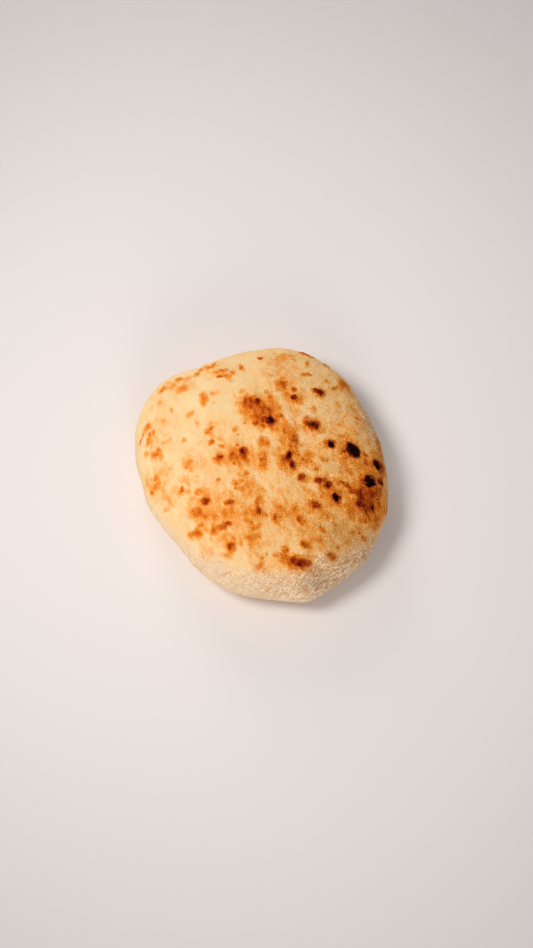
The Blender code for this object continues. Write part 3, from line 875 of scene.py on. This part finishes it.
def makeScatter(name, values, attribute, alongSkin, material):
    obj = addObject(name, crustPiece.data.copy())
    runTree(obj, makeScatterTree(name, values, attribute, alongSkin, material), values)
    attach(obj, "root")
    print(name, "made:", len(obj.data.polygons), "faces")


# grains of flour that cling to the crust
flourGrains = {
    "Number per Area": 1.5e6,  # on a square metre where the flour is thickest
    "Smallest": 0.12 * mm,  # radius
    "Largest": 0.24 * mm,
    "Flatness": 1.0,
    "Seed": 5,
}

flourLook = {
    "pale": "#FFD9A2",
    "dark": "#DDA25F",
    "clump": 2.0 * mm,
    "clumpRamp": (3.0, -1.0),  # gain and level
    "grain": 0.2 * mm,
    "roughness": (0.2, 0.8),
}


def makeFlourMaterial(look):
    # milled wheat flour: dull near-white grains, some browned by the oven
    material, place = startMaterial("milledFlour")
    tree = material.node_tree
    clumps, grain = (addNode(tree, "ShaderNodeTexNoise", {"Vector": place, "Scale": 1 / look[name]})
                     for name in ("clump", "grain"))
    clumps, rough = (
        addNode(tree, "ShaderNodeMath", {0: source, 1: gain, 2: level}, operation="MULTIPLY_ADD",
                use_clamp=True)
        for source, (gain, level) in ((clumps, look["clumpRamp"]), (grain, look["roughness"])))
    colour = addNode(tree, "ShaderNodeMix", {"Factor": clumps, 6: linearColour(look["dark"]),
                                             7: linearColour(look["pale"])}, output=2, data_type="RGBA")
    bump = addNode(tree, "ShaderNodeBump", {"Strength": 0.4, "Distance": 0.05 * mm, "Height": grain})
    shader = addNode(tree, "ShaderNodeBsdfPrincipled", {
        "Base Color": colour, "Roughness": rough, "Normal": bump, "Specular IOR Level": 0.1})
    addNode(tree, "ShaderNodeOutputMaterial", {0: shader})
    return material


# small bubbles of the skin, which carry the crust's own tones
skinBubbles = {
    "Number per Area": 0.45e6,
    "Smallest": 0.22 * mm,
    "Largest": 0.55 * mm,
    "Flatness": 0.45,
    "Seed": 9,
}

makeScatter("flour_grains", flourGrains, "grains", False, makeFlourMaterial(flourLook))
makeScatter("skin_bubbles", skinBubbles, "pimples", True, crustPiece.data.materials[0])


# floor and light: a pale board, a soft lamp from the left, two weaker ones near and far, a dim even sky
studio = {
    "floorSize": 6.0,
    "floorColour": "#E8DDD6",
    "skyStrength": 0.40,
    "skyColour": "#EDF6FF",
    "lampCone": 47.0,
    # each: place, point it is aimed at, width, watts
    "lamps": {
        "key": ((-0.50, -0.08, 0.87), (-0.02, 0.02, 0.0), 0.44, 26.8),
        "nearFill": ((0.06, -0.90, 0.36), (0.0, 0.0, 0.01), 0.40, 12.0),
        "farFill": ((-0.25, 0.84, 0.40), (0.0, 0.0, 0.01), 0.40, 10.0),
    },
}


def makeFloor():
    plane = bmesh.new()
    bmesh.ops.create_grid(plane, x_segments=8, y_segments=8, size=studio["floorSize"] / 2)
    mesh = bpy.data.meshes.new("floor")
    plane.to_mesh(mesh)
    plane.free()
    # matt painted board: pale and even
    material = bpy.data.materials.new("paintedBoard")
    material.use_nodes = True
    shader = material.node_tree.nodes["Principled BSDF"]
    shader.inputs["Roughness"].default_value = 0.9
    shader.inputs["Specular IOR Level"].default_value = 0.1
    shader.inputs["Base Color"].default_value = linearColour(studio["floorColour"])
    mesh.materials.append(material)
    floor = addObject("floor", mesh)


def makeLight():
    sky = bpy.data.worlds.new("studio")
    sky.use_nodes = True
    background = sky.node_tree.nodes["Background"]
    background.inputs["Color"].default_value = linearColour(studio["skyColour"])
    background.inputs["Strength"].default_value = studio["skyStrength"]
    bpy.context.scene.world = sky
    for name, (place, aim, width, watts) in studio["lamps"].items():
        lamp = bpy.data.lights.new(name, "SPOT")
        lamp.spot_size = math.radians(studio["lampCone"])
        lamp.spot_blend = 1.0
        lamp.shadow_soft_size = width / 2
        lamp.energy = watts
        obj = addObject(name, lamp)
        obj.location = place
        obj.rotation_euler = (Vector(aim) - Vector(place)).to_track_quat("-Z", "Y").to_euler()
    bpy.context.scene.view_settings.view_transform = "Standard"


makeFloor()
makeLight()
print("studio ready")
